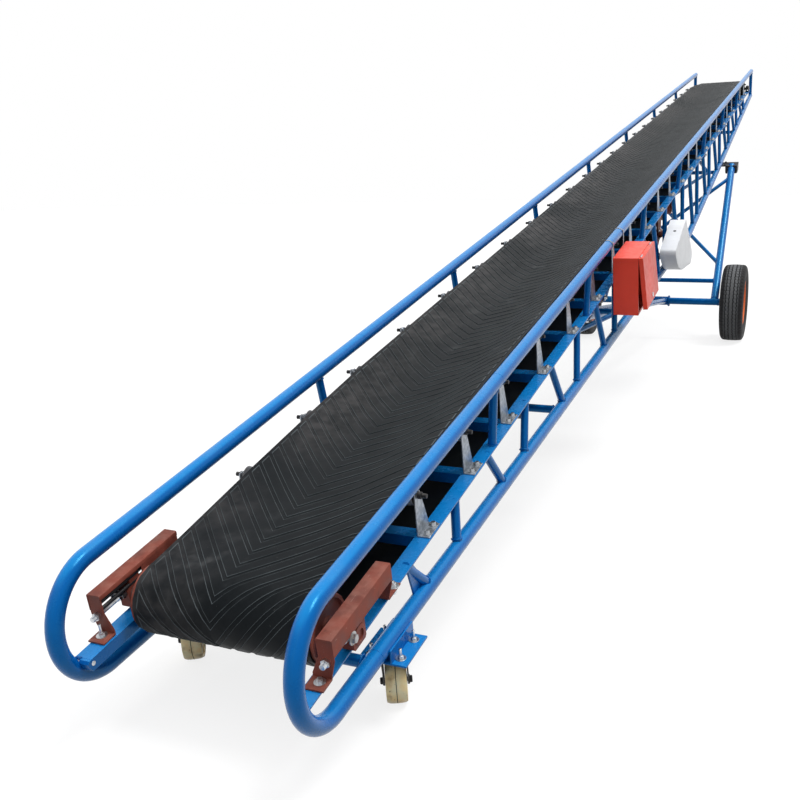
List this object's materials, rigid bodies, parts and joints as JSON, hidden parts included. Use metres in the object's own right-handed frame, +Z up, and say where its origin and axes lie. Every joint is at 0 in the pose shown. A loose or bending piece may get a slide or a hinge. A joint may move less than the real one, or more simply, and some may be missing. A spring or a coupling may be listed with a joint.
{
  "type": "mobile belt conveyor",
  "caption": "Mobile belt conveyor: a tubular lattice truss carries a troughed belt up a gentle slope on two road wheels near the middle and casters under the tail.",
  "frame": {"origin": "middle of the length and width, on the ground", "axes": "+X toward the high discharge end, +Y to the left, +Z up"},
  "size_m": [11.7715, 1.478, 2.6916],
  "materials": {
    "blue_paint": "satin blue paint, scuffed",
    "red_oxide": "matt red oxide primer",
    "belt_rubber": "dusty black rubber",
    "tyre_rubber": "matt black tyre rubber",
    "steel": "bare worn steel",
    "black_steel": "black paint",
    "orange_paint": "gloss orange-red paint",
    "grey_sheet": "light grey sheet",
    "cream_nylon": "cream nylon"
  },
  "bodies": {
    "truss": {"hand_rail_left": "blue_paint", "hand_rail_right": "blue_paint", "lower_chord_left": "blue_paint", "lower_chord_right": "blue_paint", "bed_section_1": "blue_paint", "bed_section_2": "blue_paint", "bed_section_3": "blue_paint", "bed_section_4": "blue_paint", "belt": "belt_rubber", "tail_drum": "red_oxide", "head_drum": "black_steel", "drive_drum": "red_oxide", "return_roller_1": "steel", "return_roller_2": "steel", "return_roller_3": "steel", "return_roller_4": "steel", "bend_roller_tail": "steel", "bend_roller_head": "steel", "snub_drum": "red_oxide", "take_up_left": "red_oxide", "take_up_right": "red_oxide", "head_bearing_left": "black_steel", "head_bearing_right": "black_steel", "bottom_bracing_tail": "blue_paint", "bottom_bracing_head": "blue_paint", "tail_cross_tube": "blue_paint", "motor_platform": "blue_paint", "drive_motor": "black_steel", "belt_guard": "grey_sheet", "control_box": "orange_paint", "undercarriage": "blue_paint", "leg_cap_left": "black_steel", "leg_cap_right": "black_steel", "caster_mount_left": "blue_paint", "caster_mount_right": "blue_paint", "rail_post_left_1": "blue_paint", "rail_post_left_2": "blue_paint", "rail_post_left_3": "blue_paint", "rail_post_left_4": "blue_paint", "rail_post_left_5": "blue_paint", "rail_post_left_6": "blue_paint", "rail_post_left_7": "blue_paint", "rail_post_right_1": "blue_paint", "rail_post_right_2": "blue_paint", "rail_post_right_3": "blue_paint", "rail_post_right_4": "blue_paint", "rail_post_right_5": "blue_paint", "rail_post_right_6": "blue_paint", "rail_post_right_7": "blue_paint"},
    "wheel_left": {"rim_left": "orange_paint", "tyre_left": "tyre_rubber"},
    "wheel_right": {"rim_right": "orange_paint", "tyre_right": "tyre_rubber"},
    "caster_swivel_left": {"caster_fork_left": "black_steel"},
    "caster_swivel_right": {"caster_fork_right": "black_steel"},
    "caster_roll_left": {"caster_wheel_left": "cream_nylon"},
    "caster_roll_right": {"caster_wheel_right": "cream_nylon"},
    "door": {"control_box_door": "orange_paint"}
  },
  "joints": [
    {"name": "wheel_left_spin", "type": "hinge", "parent": "truss", "child": "wheel_left", "pos_m": [1.13998, 0.644, 0.325], "axis": [0, 1, 0], "continuous": true},
    {"name": "wheel_right_spin", "type": "hinge", "parent": "truss", "child": "wheel_right", "pos_m": [1.13998, -0.644, 0.325], "axis": [0, 1, 0], "continuous": true},
    {"name": "caster_left_swivel", "type": "hinge", "parent": "truss", "child": "caster_swivel_left", "pos_m": [-5.34725, 0.335, 0.16171], "axis": [-0.1251, 0, 0.9921], "continuous": true},
    {"name": "caster_left_roll", "type": "hinge", "parent": "caster_swivel_left", "child": "caster_roll_left", "pos_m": [-5.31033, 0.349, 0.06278], "axis": [-0.4961, 0.866, -0.0626], "continuous": true},
    {"name": "caster_right_swivel", "type": "hinge", "parent": "truss", "child": "caster_swivel_right", "pos_m": [-5.34725, -0.335, 0.16171], "axis": [-0.1251, 0, 0.9921], "continuous": true},
    {"name": "caster_right_roll", "type": "hinge", "parent": "caster_swivel_right", "child": "caster_roll_right", "pos_m": [-5.30918, -0.32317, 0.06267], "axis": [-0.4193, 0.9063, -0.0529], "continuous": true},
    {"name": "control_box_door_hinge", "type": "hinge", "parent": "truss", "child": "door", "pos_m": [-2.69333, -0.4875, 1.00143], "axis": [-0.9827, 0, -0.185], "range_deg": [-4.5, 90]}
  ]
}
